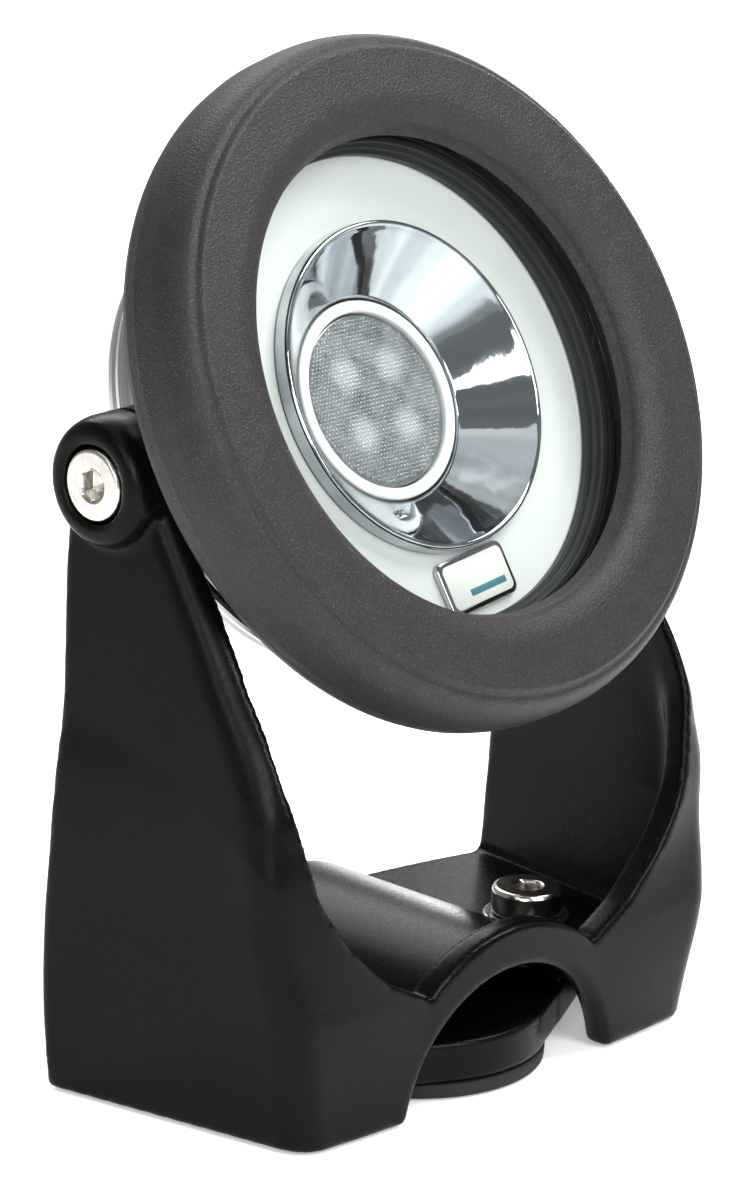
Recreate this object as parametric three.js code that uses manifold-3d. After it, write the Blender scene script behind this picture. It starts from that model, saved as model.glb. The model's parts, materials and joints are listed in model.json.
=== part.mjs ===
// Underwater pond light: a round lamp head that tilts between the two arms of a moulded bracket.
// Millimetres, +Z up, the lamp looks towards -Y, and X runs from arm to arm.
import * as THREE from "three";
import { mergeVertices } from "three/addons/utils/BufferGeometryUtils.js";
import Module from "manifold-3d";

const wasm = await Module();
wasm.setup();

// ---------------------------------------------------------------- driving dimensions
const PIVOT_Z = 111; // height of the tilt axis above the ground
const TILT_DEG = 27.7; // how far the lamp looks up as stored
const HEAD_RISE = 1; // the lamp's axis passes this far above the tilt axis
const GAP = 0.3; // clearance between pieces that touch

const ARM_TOP_HALF = 54; // half the bracket's width at the tilt axis
const WALL = 5; // side wall thickness
const FRONT_WALL = 5.5; // front wall thickness
const FRONT_Y = -48.9; // front face of the base
const PLATE_TOP = 17; // top of the floor plate between the walls
const PLATE_BOTTOM = 13.5;
const PLATE_BULGE = 7; // how far the plate's rear edge bows out between the arms
const BARREL_REAR_Y = 8.2;
const BARREL_R = 29.1; // half-round rib that runs front to back over the tunnel
const TUNNEL_R = 25.6;
const BARREL_Z = -2.1;
const ARCH_R = 26.6; // arch through the front wall
const ARCH_Z = -4.5;
const HUMP_R = 32.3; // crest of the front wall over the arch
const EYE_R = 11.7; // round eye at the top of each arm
const EYE_FACE_R = 9.1;
const EYE_FACE_X = 58.3;

const SCREW_HEAD_R = 6.5; // M8 low head cap screw
const SCREW_HEAD_H = 5;
const SCREW_R = 4;
const HOLE_R = 4.3;
const SOCKET_FLAT = 5; // hexagon socket, across flats
const NUT_FLAT = 13;

const FOOT_R = 24.5; // round foot under the tunnel
const FOOT_Y = -24;
const FOOT_TOP = 10.6;
const PAD_TOP = 2.8;
const EAR_X = 31; // clamp screws either side of the foot
const EAR_R = 10;
const EAR_TOP = 13.2;

const POT_R = 43.6; // drawn steel housing
const POT_MOUTH_R = 46; // its wider mouth
const POT_WALL = 0.8;
const RING_R = 62.1; // front ring, widest radius
const CREASE_R = 58; // edge of its flat front
const FRONT_D = 35.6; // distance from the tilt axis to the flat front
const GLASS_R = 46.6;
const PLATE_R = 44.6; // white aperture plate
const BOWL_R = 29.9; // reflector rim
const LENS_R = 15.7;

// ---------------------------------------------------------------- geometry helpers
const { cos, sin, sqrt, PI, max, min } = Math;
const v2 = (x, y) => new THREE.Vector2(x, y);
const rad = THREE.MathUtils.degToRad;

// Merge a geometry's vertices, drop empty triangles and turn the faces outwards.
function closed(geometry) {
  geometry.deleteAttribute("normal");
  geometry.deleteAttribute("uv");
  const merged = mergeVertices(geometry, 1e-4);
  const p = merged.attributes.position;
  const index = [];
  for (let i = 0; i < merged.index.count; i += 3) {
    const [a, b, c] = [0, 1, 2].map((k) => merged.index.getX(i + k));
    if (a !== b && b !== c && c !== a) index.push(a, b, c);
  }
  let volume = 0;
  const [a, b, c] = [new THREE.Vector3(), new THREE.Vector3(), new THREE.Vector3()];
  for (let i = 0; i < index.length; i += 3) {
    a.fromBufferAttribute(p, index[i]);
    b.fromBufferAttribute(p, index[i + 1]);
    c.fromBufferAttribute(p, index[i + 2]);
    volume += a.dot(b.cross(c));
  }
  if (volume < 0) index.reverse();
  merged.setIndex(index);
  return merged;
}

// A closed geometry as a solid for joins and cuts, and back again.
function toSolid(geometry) {
  const g = closed(geometry);
  return new wasm.Manifold(
    new wasm.Mesh({
      numProp: 3,
      vertProperties: new Float32Array(g.attributes.position.array),
      triVerts: new Uint32Array(g.index.array),
    }),
  );
}

function toGeometry(solid) {
  const mesh = solid.getMesh();
  const g = new THREE.BufferGeometry();
  g.setAttribute("position", new THREE.BufferAttribute(mesh.vertProperties.slice(), 3));
  g.setIndex(Array.from(mesh.triVerts));
  return g;
}

// Turn a profile of [radius, distance forward] round the lamp's axis, which points along -Y.
function turned(profile, segments = 48) {
  const points = profile.map(([r, d]) => v2(r, -d));
  const onAxis = profile[0][0] === 0 && profile.at(-1)[0] === 0;
  if (!onAxis) points.push(points[0].clone());
  return closed(new THREE.LatheGeometry(points, segments));
}

// The same about Z, with heights in place of distances.
function turnedZ(profile, segments = 40) {
  return turned(profile, segments).rotateX(-PI / 2);
}

// The same about X, for the side given by sign, with distances out from the middle.
function turnedX(profile, sign, segments = 40) {
  return closed(turned(profile, segments).rotateZ(sign > 0 ? PI / 2 : -PI / 2));
}

// Points on an elliptical quarter from [r0, d0] to [r1, d1], leaving along d when alongD is true.
function quarter([r0, d0], [r1, d1], steps, alongD = true) {
  const out = [];
  for (let i = 1; i < steps; i++) {
    const t = (i / steps) * (PI / 2);
    const [s, c] = alongD ? [1 - cos(t), sin(t)] : [sin(t), 1 - cos(t)];
    out.push([r0 + (r1 - r0) * s, d0 + (d1 - d0) * c]);
  }
  return out;
}

function arcPoints(cx, cy, r, from, to, steps) {
  const out = [];
  for (let i = 0; i <= steps; i++) {
    const t = rad(from + ((to - from) * i) / steps);
    out.push(v2(cx + r * cos(t), cy + r * sin(t)));
  }
  return out;
}

// Outline in X and Z, pushed from y0 to y1.
function alongY(points, y0, y1) {
  const g = new THREE.ExtrudeGeometry(new THREE.Shape(points), { depth: y1 - y0, bevelEnabled: false });
  return g.rotateX(PI / 2).translate(0, y1, 0);
}

// Outline in X and Y, pushed from z0 to z1.
function alongZ(points, z0, z1) {
  const g = new THREE.ExtrudeGeometry(new THREE.Shape(points), { depth: z1 - z0, bevelEnabled: false });
  return g.translate(0, 0, z0);
}

// Skin a stack of outlines that all have the same number of points, and cap both ends.
function loft(sections) {
  const n = sections[0].length;
  const positions = sections.flat().flatMap((p) => [p.x, p.y, p.z]);
  const index = [];
  for (let s = 0; s + 1 < sections.length; s++) {
    for (let i = 0; i < n; i++) {
      const a = s * n + i;
      const b = s * n + ((i + 1) % n);
      index.push(a, b, b + n, a, b + n, a + n);
    }
  }
  const flat = (section) => section.map((p) => v2(p.x, p.y));
  const last = (sections.length - 1) * n;
  for (const [i, j, k] of THREE.ShapeUtils.triangulateShape(flat(sections[0]), [])) index.push(k, j, i);
  for (const [i, j, k] of THREE.ShapeUtils.triangulateShape(flat(sections.at(-1)), [])) {
    index.push(last + i, last + j, last + k);
  }
  const g = new THREE.BufferGeometry();
  g.setAttribute("position", new THREE.Float32BufferAttribute(positions, 3));
  g.setIndex(index);
  return g;
}

function hexagon(flats, cx = 0, cy = 0) {
  const r = flats / sqrt(3);
  return [0, 1, 2, 3, 4, 5].map((i) => v2(cx + r * cos(rad(60 * i)), cy + r * sin(rad(60 * i))));
}

// Straight-line reading of a table of [position, value] pairs.
function read(table, at) {
  const i = max(1, min(table.length - 1, table.findIndex(([x]) => x >= at)));
  const [[x0, y0], [x1, y1]] = [table[i - 1], table[i]];
  return y0 + ((y1 - y0) * (at - x0)) / (x1 - x0);
}

// ---------------------------------------------------------------- materials
const material = (color, roughness, metalness = 0) =>
  new THREE.MeshStandardMaterial({ color, roughness, metalness });
const blackPlastic = material(0x232221, 0.45);
const greyPlastic = material(0x4b4844, 0.7);
const steel = material(0xc4c4c0, 0.2, 1);
const brass = material(0xb8954a, 0.35, 1);
const aluminium = material(0xb4b6b8, 0.4, 1);
const chrome = material(0xd8dadc, 0.08, 1);
const rubber = material(0x161616, 0.9);
const whitePlastic = material(0xf0f0ee, 0.4);
const darkBaffle = material(0x38393b, 0.6);
const clear = material(0xdde6e6, 0.05);
const lensPlastic = material(0xa9b0b2, 0.2);
const circuitWhite = material(0xe4e6e2, 0.5);
const circuitGreen = material(0x1f5a38, 0.6);
const phosphor = material(0xe9d36b, 0.5);
const teal = material(0x3f7f8c, 0.4);

const part = new THREE.Group();
part.name = "pond_light";
const bracketGroup = new THREE.Group();
bracketGroup.name = "bracket_assembly";
const headGroup = new THREE.Group();
headGroup.name = "lamp_head";
part.add(bracketGroup, headGroup);

function add(group, name, geometry, look) {
  const mesh = new THREE.Mesh(geometry, look);
  mesh.name = name;
  group.add(mesh);
  return mesh;
}

// ---------------------------------------------------------------- bracket
// The outer form is read from these tables, each as [height, value].
const FRONT_SET_BACK = [
  [-1, 0], [40, 0], [45, 0.5], [50, 1.2], [55, 2.1], [60, 3], [65, 5], [70, 7.5], [80, 14.6], [90, 21.4],
  [100, 28.7], [108, 34.2], [117.3, 38.7],
];
const STRIP_SLOPE = [
  [-1, 0], [30, 0], [40, 0.15], [50, 0.2], [60, 0.4], [70, 0.55], [80, 0.4], [90, 0.2], [117.3, 0],
];
const WINDOW_EDGE = [
  [23, 23.4], [24.3, 26], [26.2, 29.6], [30, 34.6], [35, 40], [40, 44], [45, 47.1], [50, 48.6], [55, 49.8],
  [60, 50.9], [66, 51.6], [74, 51.3], [84, 50.5], [97, 49.5], [125, 49.3],
];
const REAR_EDGE = [
  [-1, 7.4], [10, 8.2], [20, 8.6], [30, 8.5], [40, 8.2], [50, 7.9], [60, 7.8], [70, 7.8], [80, 8.4],
  [92, 9.4],
  [117.3, 9.4],
];
const FRONT_HALF = [[-1, 50], [10, 52.2], [20, 54.4], [30, 56], [40, 57], [50, 57.6], [60, 58], [72, 58]];
const REAR_HALF = [
  [-1, 60.3], [10, 60.6], [25, 60.8], [40, 60.4], [50, 59.9], [60, 58.9], [69, 57.6], [72, 57.4],
];
const SLICES = [0, 10, 20, 30, 40, 50, 56, 62, 68, 74, 86, 100, 109, 117.2];

// Half width of the walls: flat above a crease that falls towards the front, swollen below it.
function halfWidth(y, z) {
  const creaseZ = 69 - 0.0078 * (8 - min(y, 8)) ** 2;
  const flat = (height) => ARM_TOP_HALF + 0.085 * (PIVOT_Z - height) - 0.03 * (8 - y);
  if (z >= creaseZ) return flat(z);
  const t = (y - FRONT_Y) / 57;
  const swollen = (height) => read(FRONT_HALF, height) * (1 - t) + read(REAR_HALF, height) * t;
  return swollen(z) + (flat(creaseZ) - swollen(creaseZ)) * max(0, z / creaseZ) ** 2;
}

// Front face of the moulding, which bows back towards its sides.
function frontFace(x, z) {
  const strip = read(STRIP_SLOPE, z) * max(0, x - read(WINDOW_EDGE, max(z, 23)));
  return FRONT_Y + 0.00088 * x * x + read(FRONT_SET_BACK, z) + strip;
}

function rearFace(x, z) {
  return read(REAR_EDGE, z) + PLATE_BULGE * max(0, 1 - (x / 52) ** 2);
}

// One level outline of the bracket, drawn in by inset, with rounded front corners.
function bracketSlice(z, inset, frontInset, rearShift, cornerR) {
  const front = (x) => frontFace(x, z) + frontInset;
  let corner = [50, front(50)];
  for (let i = 0; i < 4; i++) {
    const x = halfWidth(corner[1], z) - inset;
    corner = [x, front(x)];
  }
  const [cx, cy] = corner;
  const start = [cx - cornerR, front(cx - cornerR)];
  const end = [halfWidth(cy + cornerR, z) - inset, cy + cornerR];
  const half = [0, 0.45, 0.8].map((k) => [k * start[0], front(k * start[0])]);
  for (let i = 0; i <= 4; i++) {
    const t = i / 4;
    half.push([0, 1].map((k) => (1 - t) ** 2 * start[k] + 2 * t * (1 - t) * corner[k] + t * t * end[k]));
  }
  const side = halfWidth(8, z) - inset;
  const rear = rearFace(side, z) + rearShift;
  for (let i = 1; i <= 4; i++) {
    const y = end[1] + ((rear - 1.2 - end[1]) * i) / 4;
    half.push([halfWidth(y, z) - inset, y]);
  }
  const back = halfWidth(rear, z) - inset;
  half.push([back - 0.35, rear - 0.35], [back - 1.2, rear]);
  half.push(...[0.75, 0.5, 0.25].map((k) => [k * back, rearFace(k * back, z) + rearShift]));
  const left = half.slice(1).map(([x, y]) => [-x, y]).reverse();
  return [...half, ...left].map(([x, y]) => new THREE.Vector3(x, y, z));
}

// Outlines of the hollow between the walls, which are thicker near the ground.
function innerSlices(levels) {
  return levels.map((z) => bracketSlice(z, WALL + 3 * max(0, 1 - z / 40), FRONT_WALL, 12, 3));
}

// Window above the front wall: up the inside of both arms and down over the hump.
function frontWindow() {
  const valley = sqrt(HUMP_R ** 2 - (23.4 - BARREL_Z) ** 2);
  const from = THREE.MathUtils.radToDeg(Math.atan2(23.4 - BARREL_Z, valley));
  const hump = arcPoints(0, BARREL_Z, HUMP_R, from, 180 - from, 20);
  const half = WINDOW_EDGE.map(([z, x]) => v2(x, z)).reverse();
  const left = half.map((p) => v2(-p.x, p.y)).reverse();
  return [...half, ...hump, ...left];
}

function eye(sign) {
  const inner = ARM_TOP_HALF - WALL;
  const rim = quarter([EYE_R, EYE_FACE_X - 5.4], [EYE_FACE_R, EYE_FACE_X], 6);
  return turnedX(
    [[0, inner], [EYE_R, inner], [EYE_R, EYE_FACE_X - 5.4], ...rim, [EYE_FACE_R, EYE_FACE_X], [0, EYE_FACE_X]],
    sign,
    40,
  ).translate(0, 0, PIVOT_Z);
}

function buildBracket() {
  let body = toSolid(loft(SLICES.map((z) => bracketSlice(z, 0, 0, 0, 5))));
  const upperLevels = [PLATE_TOP, 30, 40, 50, 56, 62, 68, 74, 86, 100, 109, 117.3];
  body = body.subtract(toSolid(loft(innerSlices(upperLevels))));
  body = body.subtract(toSolid(loft(innerSlices([-1, 6, PLATE_BOTTOM]))));
  body = body.subtract(toSolid(alongY(frontWindow(), -60, 30)));
  const rib = toSolid(alongY(arcPoints(0, BARREL_Z, BARREL_R, 33, 147, 24), FRONT_Y + 3, BARREL_REAR_Y));
  body = body.add(rib);
  const bore = [v2(TUNNEL_R, -6), ...arcPoints(0, BARREL_Z, TUNNEL_R, 0, 180, 22), v2(-TUNNEL_R, -6)];
  body = body.subtract(toSolid(alongY(bore, FRONT_Y + FRONT_WALL, 30)));
  const arch = [v2(ARCH_R, -9), ...arcPoints(0, ARCH_Z, ARCH_R, 0, 180, 22), v2(-ARCH_R, -9)];
  body = body.subtract(toSolid(alongY(arch, -60, FRONT_Y + FRONT_WALL + 0.5)));
  for (const sign of [-1, 1]) {
    const hole = turnedZ([[0, 0], [HOLE_R + 0.2, 0], [HOLE_R + 0.2, 30], [0, 30]], 24);
    body = body.subtract(toSolid(hole.translate(sign * EAR_X, FOOT_Y, 0)));
    body = body.add(toSolid(eye(sign)));
    const seat = EYE_FACE_X - SCREW_HEAD_H - 0.2;
    const bored = turnedX(
      [
        [0, 40], [HOLE_R, 40], [HOLE_R, seat], [SCREW_HEAD_R + 0.45, seat],
        [SCREW_HEAD_R + 0.45, 62], [0, 62],
      ],
      sign,
    );
    body = body.subtract(toSolid(bored.translate(0, 0, PIVOT_Z)));
  }
  return toGeometry(body);
}
add(bracketGroup, "bracket", buildBracket(), blackPlastic);

// ---------------------------------------------------------------- screws, washers and nuts
// A low head cap screw along +Z with the underside of its head at z = 0.
function capScrew(length) {
  const top = SCREW_HEAD_H;
  const outline = [
    [0, -length], [SCREW_R - 0.6, -length], [SCREW_R, -length + 0.7], [SCREW_R, 0], [SCREW_HEAD_R, 0],
    [SCREW_HEAD_R, top - 0.7], [SCREW_HEAD_R - 0.25, top - 0.2], [SCREW_HEAD_R - 0.75, top], [0, top],
  ];
  const shape = toSolid(turnedZ(outline, 24));
  const socket = toSolid(alongZ(hexagon(SOCKET_FLAT), top - 2.9, top + 1));
  const chamfer = toSolid(turnedZ(
    [[0, top - 0.45], [2.55, top - 0.45], [3.1, top + 0.1], [0, top + 0.1]], 24,
  ));
  return toGeometry(shape.subtract(socket).subtract(chamfer));
}

function washer(inner, outer, z0, z1) {
  return turnedZ([[inner, z0], [outer, z0], [outer, z1], [inner, z1]], 24);
}

function hexNut(z0, z1, flats = NUT_FLAT, boreR = HOLE_R) {
  const hex = toSolid(alongZ(hexagon(flats), z0, z1));
  const r = flats / sqrt(3);
  const edge = toSolid(turnedZ(
    [[0, z0], [r - 0.9, z0], [r, z0 + 0.6], [r, z1 - 0.6], [r - 0.9, z1], [0, z1]], 24,
  ));
  const bore = toSolid(turnedZ([[0, z0 - 1], [boreR, z0 - 1], [boreR, z1 + 1], [0, z1 + 1]], 20));
  return toGeometry(hex.intersect(edge).subtract(bore));
}

const SIDES = [[-1, "left"], [1, "right"]];
const WASHER_Z = PLATE_TOP + 0.2;
for (const [sign, side] of SIDES) {
  const x = sign * EAR_X;
  const clampWasher = washer(HOLE_R + 0.2, 8, WASHER_Z, WASHER_Z + 1.4).translate(x, FOOT_Y, 0);
  add(bracketGroup, `clamp_washer_${side}`, clampWasher, steel);
  const screw = capScrew(15.5).translate(x, FOOT_Y, WASHER_Z + 1.6);
  add(bracketGroup, `clamp_screw_${side}`, screw, steel);
  add(bracketGroup, `clamp_nut_${side}`, hexNut(PAD_TOP + 0.6, 9).translate(x, FOOT_Y, 0), steel);
}

// ---------------------------------------------------------------- foot
// Oval foot: a round middle with an ear under each clamp screw.
function footOutline() {
  const lean = THREE.MathUtils.radToDeg(Math.asin((FOOT_R - EAR_R) / EAR_X));
  const right = arcPoints(EAR_X, FOOT_Y, EAR_R, lean - 90, 90 - lean, 12);
  const back = arcPoints(0, FOOT_Y, FOOT_R, 90 - lean, 90 + lean, 10);
  const left = arcPoints(-EAR_X, FOOT_Y, EAR_R, 90 + lean, 270 - lean, 12);
  const front = arcPoints(0, FOOT_Y, FOOT_R, 270 - lean, 270 + lean, 10);
  return [...right, ...back, ...left, ...front];
}

function buildFoot() {
  const low = PAD_TOP + GAP;
  let body = toSolid(alongZ(footOutline(), low, EAR_TOP));
  const dishR = EAR_X - EAR_R - 0.6;
  const dish = turnedZ([[0, FOOT_TOP], [dishR, FOOT_TOP], [dishR, 20], [0, 20]], 36);
  body = body.subtract(toSolid(dish.translate(0, FOOT_Y, 0)));
  const round = turnedZ(
    [[0, low], [FOOT_R, low], [FOOT_R, FOOT_TOP - 0.4], [FOOT_R - 0.4, FOOT_TOP], [0, FOOT_TOP]], 48,
  );
  const rimR = EAR_X - EAR_R - 0.7;
  const rim = [[rimR, FOOT_TOP], [FOOT_R + 3, FOOT_TOP], [FOOT_R + 3, 20], [rimR, 20]];
  body = body.subtract(toSolid(turnedZ(rim, 48).translate(0, FOOT_Y, 0)));
  body = body.add(toSolid(round.translate(0, FOOT_Y, 0)));
  for (const [sign] of SIDES) {
    const ear = turnedZ([[0, low], [8.9, low], [8.9, EAR_TOP], [0, EAR_TOP]], 32);
    body = body.add(toSolid(ear.translate(sign * EAR_X, FOOT_Y, 0)));
    const hole = turnedZ([[0, 0], [HOLE_R, 0], [HOLE_R, 20], [0, 20]], 24);
    body = body.subtract(toSolid(hole.translate(sign * EAR_X, FOOT_Y, 0)));
    body = body.subtract(toSolid(alongZ(hexagon(NUT_FLAT + 0.7, sign * EAR_X, FOOT_Y), 0, 9.3)));
  }
  const socket = turnedZ([[0, 0], [10, 0], [10, 8], [0, 8]], 32);
  body = body.subtract(toSolid(socket.translate(0, FOOT_Y, 0)));
  return toGeometry(body);
}
add(bracketGroup, "foot", buildFoot(), blackPlastic);
const pad = [[10.5, 0], [FOOT_R - 0.5, 0], [FOOT_R, 0.5], [FOOT_R, PAD_TOP], [10.5, PAD_TOP]];
add(bracketGroup, "foot_pad", turnedZ(pad, 48).translate(0, FOOT_Y, 0), rubber);

// ---------------------------------------------------------------- lamp head: outer shell
// From here on the lamp looks along -Y and the tilt axis is X through the origin.
function frontRingProfile() {
  const shoulder = quarter([CREASE_R + 0.5, FRONT_D - 0.8], [RING_R, FRONT_D - 9], 6, false);
  const lip = quarter([50.2, FRONT_D], [44, FRONT_D - 3.4], 5, false);
  return [
    [43, 30.3], [47.4, 30.3], [47.4, 22.8], [52.8, 22.8], [52.8, 17.6], [60, 17.6], [61, 18.2],
    [61.6, 19.6], [62, 22.6], [RING_R, FRONT_D - 9], ...shoulder.reverse(),
    [CREASE_R + 0.5, FRONT_D - 0.8], [CREASE_R, FRONT_D - 0.6], [CREASE_R - 0.2, FRONT_D], [50.2, FRONT_D],
    ...lip, [44, FRONT_D - 3.4],
  ];
}
add(headGroup, "front_ring", turned(frontRingProfile(), 56), greyPlastic);

const gasket = [[44.2, 29.75], [46.6, 29.75], [46.6, 30.05], [44.2, 30.05]];
add(headGroup, "front_gasket", turned(gasket, 36), rubber);
const glass = [
  [0, 25.5], [GLASS_R - 0.4, 25.5], [GLASS_R, 25.9], [GLASS_R, 29.1], [GLASS_R - 0.4, 29.5], [0, 29.5],
];
add(headGroup, "window_glass", turned(glass, 40), clear);
add(headGroup, "housing_seal", turned([[45.3, 22.7], [47.1, 22.7], [47.1, 25.2], [45.3, 25.2]], 36), rubber);
add(headGroup, "retaining_ring", turned([[46.4, 18.2], [52.4, 18.2], [52.4, 20.6], [46.4, 20.6]], 36), steel);

// Drawn steel pot with an outward flange, a rolled bead near its rear edge and a cable hole.
function buildPot() {
  const inner = POT_R - POT_WALL;
  const outside = [
    [POT_MOUTH_R, 20.9], [POT_MOUTH_R, 17.6], [POT_R, 15.4],
    [POT_R, -2.2], [POT_R + 0.3, -2.8], [POT_R + 0.3, -4.6], [POT_R, -5.2],
    ...quarter([POT_R, -5.2], [POT_R - 7, -12.6], 4), [POT_R - 7, -12.6],
  ];
  const inside = [
    [inner - 7, -11.8], ...quarter([inner, -5.2], [inner - 7, -11.8], 4).reverse(), [inner, -5.2],
    [inner, 15.6], [POT_MOUTH_R - POT_WALL, 17.8], [POT_MOUTH_R - POT_WALL, 22.4],
  ];
  const profile = [[52, 22.4], [52, 20.9], ...outside, [6.6, -12.6], [6.6, -11.8], ...inside];
  let pot = toSolid(turned(profile, 48));
  for (const [sign] of SIDES) {
    const bolt = turnedX([[0, 30], [HOLE_R, 30], [HOLE_R, 60], [0, 60]], sign, 24);
    pot = pot.subtract(toSolid(bolt.translate(0, 0, -HEAD_RISE)));
  }
  return toGeometry(pot);
}

// Round lug on the pot's side, shaped to it, that carries the tilt screw.
function buildLug(sign) {
  const face = ARM_TOP_HALF - WALL - 0.5;
  const round = turnedX([[HOLE_R, 38], [EYE_R, 38], [EYE_R, face], [HOLE_R, face]], sign, 32);
  const lug = toSolid(round.translate(0, 0, -HEAD_RISE));
  const pot = toSolid(turned([[0, -30], [POT_R + 0.6, -30], [POT_R + 0.6, 30], [0, 30]], 72));
  return toGeometry(lug.subtract(pot));
}

// ---------------------------------------------------------------- lamp head: optics
function bowlProfile() {
  return [
    [18.6, 13.9], [22.4, 15.3], [25.4, 17.8], [27.4, 20.8], [28.4, 23.3], [28.8, 24], [29.3, 24.2],
    [29.7, 24], [BOWL_R, 23.3], [BOWL_R, 21.2],
    [28.8, 21.2], [28, 18.6], [26.1, 16.3], [23, 14], [18.6, 12.6],
  ];
}

function addOptics() {
  const baffle = [
    [43.7, 25.2], [43.7, 23.9], [43, 23.9], [43, 22.5],
    [42.3, 22.5], [42.3, 21.1], [44.9, 21.1], [44.9, 25.2],
  ];
  add(headGroup, "light_baffle", turned(baffle, 36), darkBaffle);
  const aperture = [[29.4, 19.8], [PLATE_R, 19.8], [PLATE_R, 20.8], [29.5, 20.8]];
  add(headGroup, "aperture_plate", turned(aperture, 36), whitePlastic);
  add(headGroup, "reflector", turned(bowlProfile(), 40), chrome);
  const holder = [[16, 9.6], [18.2, 9.6], [18.2, 13.6], [17.7, 14.2], [16.5, 14.2], [16, 13.8]];
  add(headGroup, "lens_holder", turned(holder, 32), whitePlastic);
  const lens = [[0, 12], [LENS_R, 12], [LENS_R, 13.3], [12, 13.65], [6, 13.85], [0, 13.9]];
  add(headGroup, "micro_lens", turned(lens, 32), lensPlastic);
  add(headGroup, "led_board", turned([[0, 7.3], [18.6, 7.3], [18.6, 8.9], [0, 8.9]], 28), circuitWhite);
  const places = [[-5.6, -5.6], [5.6, -5.6], [5.6, 5.6], [-5.6, 5.6]];
  places.forEach(([x, z], i) => {
    const chip = turned([[0, 9.1], [3.4, 9.1], [3.4, 10], [2.2, 11.1], [0, 11.6]], 14).translate(x, 0, z);
    add(headGroup, `led_${i + 1}`, chip, phosphor);
  });
  const spreader = [[0, 2], [37.5, 2], [37.5, 5], [19, 5], [19, 7], [0, 7]];
  add(headGroup, "heat_spreader", turned(spreader, 32), aluminium);
  add(headGroup, "driver_board", turned([[0, -5], [32, -5], [32, -3.4], [0, -3.4]], 28), circuitGreen);
  const can = [[0, -3.1], [4, -3.1], [4, 1], [3.5, 1.5], [0, 1.5]];
  add(headGroup, "driver_capacitor", turned(can, 16).translate(16, 0, 10), aluminium);
}

// ---------------------------------------------------------------- badge
const BADGE = { x: 1.2, z: -35.4, width: 17.6, height: 10, d0: 21.1, turn: -6 };

function roundedBox(width, height, r, d0, d1) {
  const s = new THREE.Shape();
  const [w, h] = [width / 2, height / 2];
  s.moveTo(-w + r, -h).lineTo(w - r, -h).absarc(w - r, -h + r, r, -PI / 2, 0);
  s.lineTo(w, h - r).absarc(w - r, h - r, r, 0, PI / 2);
  s.lineTo(-w + r, h).absarc(-w + r, h - r, r, PI / 2, PI);
  s.lineTo(-w, -h + r).absarc(-w + r, -h + r, r, PI, 1.5 * PI);
  const g = new THREE.ExtrudeGeometry(s, { depth: d1 - d0, bevelEnabled: false, curveSegments: 3 });
  return closed(g.rotateX(PI / 2).translate(0, -d0, 0));
}

function addBadge() {
  const { x, z, width, height, d0, turn } = BADGE;
  const place = (g) => g.rotateY(rad(-turn)).translate(x, 0, z);
  const outer = toSolid(roundedBox(width, height, 1.8, d0, d0 + 1.2));
  const pocket = toSolid(roundedBox(width - 1.6, height - 1.6, 1.1, d0 + 0.4, d0 + 2));
  add(headGroup, "badge_frame", place(toGeometry(outer.subtract(pocket))), chrome);
  const face = toSolid(roundedBox(width - 1.9, height - 1.9, 1, d0 + 0.5, d0 + 1));
  const slot = toSolid(roundedBox(9.6, 1.5, 0.1, d0 + 0.7, d0 + 2).translate(1.6, 0, -1.9));
  add(headGroup, "badge_face", place(toGeometry(face.subtract(slot))), whitePlastic);
  const bar = roundedBox(9.2, 1.1, 0.1, d0 + 0.8, d0 + 1.05).translate(1.6, 0, -1.9);
  add(headGroup, "badge_bar", place(bar), teal);
}

// ---------------------------------------------------------------- cable inlet
function addGland() {
  const lock = hexNut(8.4, 11.4, 17, 6.5).rotateX(-PI / 2);
  add(headGroup, "gland_locknut", lock, brass);
  const hex = toSolid(alongZ(hexagon(18), 12.9, 16.4));
  const tube = toSolid(turnedZ([[0, 7], [6.2, 7], [6.2, 20], [0, 20]], 28));
  const bore = toSolid(turnedZ([[0, 6], [4.6, 6], [4.6, 21], [0, 21]], 20));
  add(headGroup, "gland_body", toGeometry(hex.add(tube).subtract(bore).rotate(-90, 0, 0)), brass);
  const cap = toSolid(alongZ(hexagon(17), 16.7, 21.5));
  const dome = turnedZ([[0, 21], [8.3, 21], ...quarter([8.3, 21], [5, 26.5], 5), [5, 26.5], [0, 26.5]], 28);
  const capBore = turnedZ([[0, 16], [6.6, 16], [6.6, 22.8], [3.4, 24.6], [3.4, 28], [0, 28]], 20);
  const nut = cap.add(toSolid(dome)).subtract(toSolid(capBore));
  add(headGroup, "gland_nut", toGeometry(nut.rotate(-90, 0, 0)), blackPlastic);
  const seal = [[3.1, 20.3], [6.2, 20.3], [6.2, 22.6], [4.4, 23.7], [3.1, 23.7]];
  add(headGroup, "gland_seal", turned(seal.map(([r, d]) => [r, -d]), 20), rubber);
}

add(headGroup, "pot_housing", buildPot(), steel);
addOptics();
addBadge();
addGland();

// ---------------------------------------------------------------- tilt screws, which ride on the head
for (const [sign, side] of SIDES) {
  add(headGroup, `pivot_lug_${side}`, buildLug(sign), blackPlastic);
  const insert = turnedX([[HOLE_R, 38.1], [7, 38.1], [7, 41.4], [HOLE_R, 41.4]], sign, 20);
  add(headGroup, `pivot_insert_${side}`, insert.translate(0, 0, -HEAD_RISE), brass);
}
const tilt = rad(TILT_DEG);
headGroup.rotation.x = -tilt;
headGroup.position.set(0, HEAD_RISE * sin(tilt), PIVOT_Z + HEAD_RISE * cos(tilt));

for (const [sign, side] of SIDES) {
  const screw = capScrew(15).rotateY((sign * PI) / 2);
  screw.translate(sign * (EYE_FACE_X - SCREW_HEAD_H), 0, PIVOT_Z);
  add(bracketGroup, `pivot_screw_${side}`, screw, steel);
}

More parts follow.
